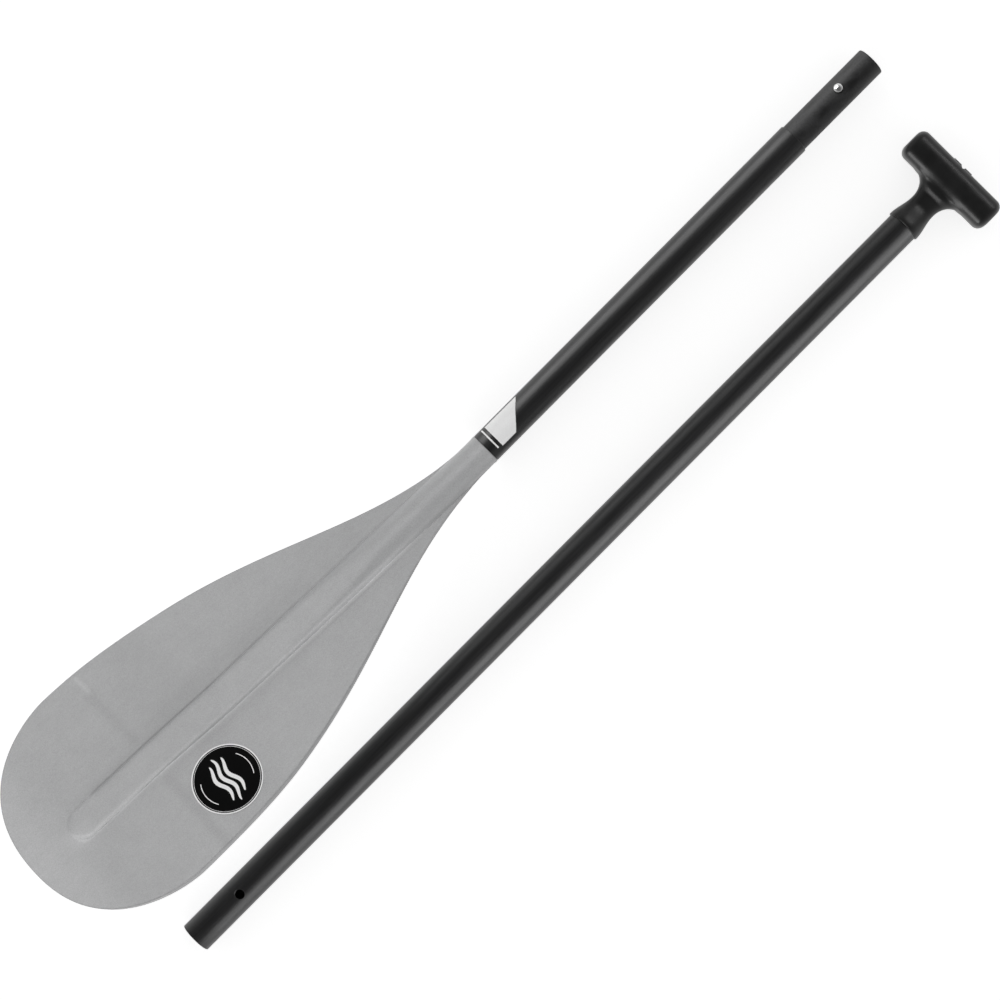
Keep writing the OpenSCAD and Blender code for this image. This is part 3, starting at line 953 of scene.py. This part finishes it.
make_blade()
make_badge()
make_badge_print()
make_film("neck_panel_film", [(11.5, -11), (11.5, 11), (48, 11), (46, 8), (27, -11)], "neck_panel")
make_film("neck_band_film", [(7, -10), (7, 11), (8.4, 11), (8.4, -10)], "neck_band")

verts, faces = tube(0, LOWER_LEN, SHAFT_R, BORE_R, 0.6, steps=[(LOWER_LEN - FERRULE_IN, SOCKET_R)])
piece("lower_tube", verts, faces, BLADE_FRAME, "blade_half", SHAFT, ["lower_shaft"])
verts, faces = tube(LOWER_LEN - FERRULE_IN, LOWER_LEN + FERRULE_OUT, FERRULE_R, FERRULE_BORE, 1.0,
                    hole=(BUTTON_AT, HOLE_R))
piece("ferrule_sleeve", verts, faces, BLADE_FRAME, "blade_half", FERRULE, ["ferrule"])
verts, faces = tube(0, UPPER_LEN, SHAFT_R, SOCKET_R, 0.5, hole=(HOLE_AT, HOLE_R),
                    steps=[(SOCKET_DEPTH, BORE_R)])
piece("upper_tube", verts, faces, HANDLE_FRAME, "handle_half", SHAFT, ["upper_shaft"])

make_button()
make_clip()
make_plug("lower_plug_foam", 110, 40, BLADE_FRAME, "blade_carrier", "lower_float_plug")
make_plug("seal_plug_foam", 106, 30, HANDLE_FRAME, "handle_carrier", "socket_seal_plug")
make_plug("upper_plug_foam", 640, 80, HANDLE_FRAME, "handle_half", "upper_float_plug")
make_grip()
make_pads()
core = frame["nodes"]["grip_core"]
core.data.materials.clear()
core.data.materials.append(CORE)


# ---- Floor, light and camera -----------------------------------------------------------------
def make_floor():
    """A pale floor that glows a little, like a light table, so that it is white without shadows."""
    mesh = bpy.data.meshes.new("floor")
    half = 30.0                         # metres, so that its edge is never in view
    mesh.from_pydata([(-half, -half, 0), (half, -half, 0), (half, half, 0), (-half, half, 0)], [],
                     [(0, 1, 2, 3)])
    look = Look("floor_light_table", 0.9, specular=0.1)
    look.colour(look.ramp(look.noise(6, 2), 0.88, 0.91))
    look.shader.inputs["Emission Color"].default_value = (1, 1, 1, 1)
    look.shader.inputs["Emission Strength"].default_value = 0.76
    mesh.materials.append(look.material)
    floor = bpy.data.objects.new("floor", mesh)
    bpy.context.scene.collection.objects.link(floor)
    floor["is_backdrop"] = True


def collection_of(name, objects):
    """The objects that a light falls on."""
    group = bpy.data.collections.new(name)
    for obj in objects:
        group.objects.link(obj)
    return group


def softbox(name, place, aim, size, power, receivers):
    """A rectangular light, in metres and watts, that falls only on its receivers."""
    light = bpy.data.lights.new(name, "AREA")
    light.shape = "RECTANGLE"
    light.size, light.size_y = size
    light.energy = power
    obj = bpy.data.objects.new(name, light)
    obj.location = place
    obj.rotation_euler = (Vector(aim) - Vector(place)).to_track_quat("-Z", "Y").to_euler()
    bpy.context.scene.collection.objects.link(obj)
    obj.visible_camera = False
    obj.light_linking.receiver_collection = receivers


def make_world():
    """Soft studio surround: bright low down, darker overhead."""
    world = bpy.data.worlds.new("studio")
    world.use_nodes = True
    nodes, links = world.node_tree.nodes, world.node_tree.links
    where = nodes.new("ShaderNodeTexCoord")
    split = nodes.new("ShaderNodeSeparateXYZ")
    ramp = nodes.new("ShaderNodeValToRGB")
    ramp.color_ramp.elements[0].position, ramp.color_ramp.elements[0].color = 0.0, (1, 1, 1, 1)
    ramp.color_ramp.elements[1].position, ramp.color_ramp.elements[1].color = 0.85, (0.16, 0.16, 0.16, 1)
    links.new(where.outputs["Generated"], split.inputs["Vector"])
    links.new(split.outputs["Z"], ramp.inputs["Fac"])
    links.new(ramp.outputs["Color"], nodes["Background"].inputs["Color"])
    nodes["Background"].inputs["Strength"].default_value = 0.9
    bpy.context.scene.world = world


make_floor()
make_world()
# Each group has its own lights, because the photograph lights its parts from different sides. The
# badge's disc is in no group, so that it stays black.
grip = [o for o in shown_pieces() if o.name.startswith("grip")]
handle = [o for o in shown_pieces() if body_of(o)[0] in ("handle_half", "handle_carrier") and o not in grip]
blade = [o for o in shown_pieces() if o.name.startswith(("blade", "badge_print", "neck"))]
lower = [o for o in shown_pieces() if o not in grip + handle + blade and o.name != "badge_disc"]
by_grip, by_handle = collection_of("lit_with_grip", grip), collection_of("lit_with_handle", handle)
by_blade, by_lower = collection_of("lit_with_blade", blade), collection_of("lit_with_lower", lower)
HANDLE_AIM, LOWER_AIM = (0, -0.09, 0), (0.2, 0.03, 0)
BLADE_AIM, GRIP_AIM = (-0.25, 0.03, 0.03), (0.45, -0.09, 0.015)
softbox("key_handle", (0.3, -1.90, 0.95), HANDLE_AIM, (2.4, 1.9), 46, by_handle)
softbox("fill_handle", (0.3, 1.9, 0.7), HANDLE_AIM, (2.4, 1.6), 8, by_handle)
softbox("key_lower", (0.2, 1.80, 1.14), LOWER_AIM, (2.4, 1.6), 41, by_lower)
softbox("key_blade", (-0.05, 1.10, 1.95), BLADE_AIM, (1.2, 1.2), 27.4, by_blade)
softbox("edge_blade", (-0.9, -1.8, 0.85), BLADE_AIM, (1.8, 0.45), 18, by_blade)
softbox("near_grip", (-1.80, -0.09, 1.05), GRIP_AIM, (2.0, 1.6), 44, by_grip)
softbox("far_grip", (1.95, -0.09, 1.52), GRIP_AIM, (2.0, 0.4), 11, by_grip)

camera = bpy.data.objects.new("camera", bpy.data.cameras.new("camera"))
camera.location = (0.0017, -0.0129, 2.5154)
camera.rotation_euler = (0, 0, math.radians(-45.17))
camera.data.sensor_width = 36
camera.data.lens = 107.66
bpy.context.scene.collection.objects.link(camera)
bpy.context.scene.camera = camera
bpy.context.scene.view_settings.view_transform = "Standard"
